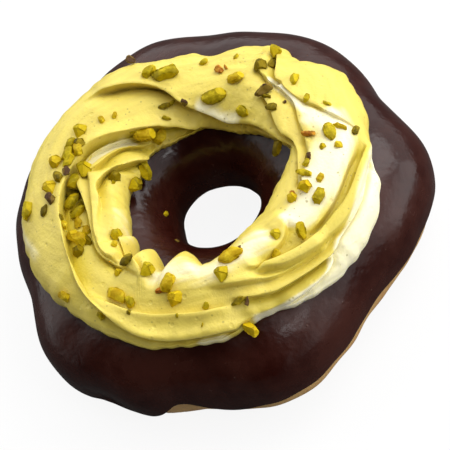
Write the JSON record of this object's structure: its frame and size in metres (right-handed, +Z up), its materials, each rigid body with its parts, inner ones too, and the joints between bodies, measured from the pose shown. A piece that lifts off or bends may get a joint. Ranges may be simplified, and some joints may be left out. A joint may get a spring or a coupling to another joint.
{
  "type": "chocolate glazed ring doughnut",
  "caption": "Raised ring doughnut in a dark chocolate glaze, topped with a piped ring of pistachio cream and chopped pistachios; lies flat on its foot.",
  "frame": {"origin": "middle of the doughnut's overall footprint, on the surface that it lies on", "axes": "+Z up, out of the top of the ring; +Y away from the side that the picture shows nearest"},
  "size_m": [0.0996, 0.1034, 0.0385],
  "materials": {
    "dough": "matt fried dough, pale tan",
    "glaze": "semi-gloss dark chocolate glaze",
    "cream": "satin whipped pistachio and vanilla cream",
    "pistachio": "chopped pistachio, green to gold with brown skin"
  },
  "bodies": {
    "root": {"dough_ring": "dough", "chocolate_glaze": "glaze", "pistachio_cream": "cream"}
  },
  "joints": []
}
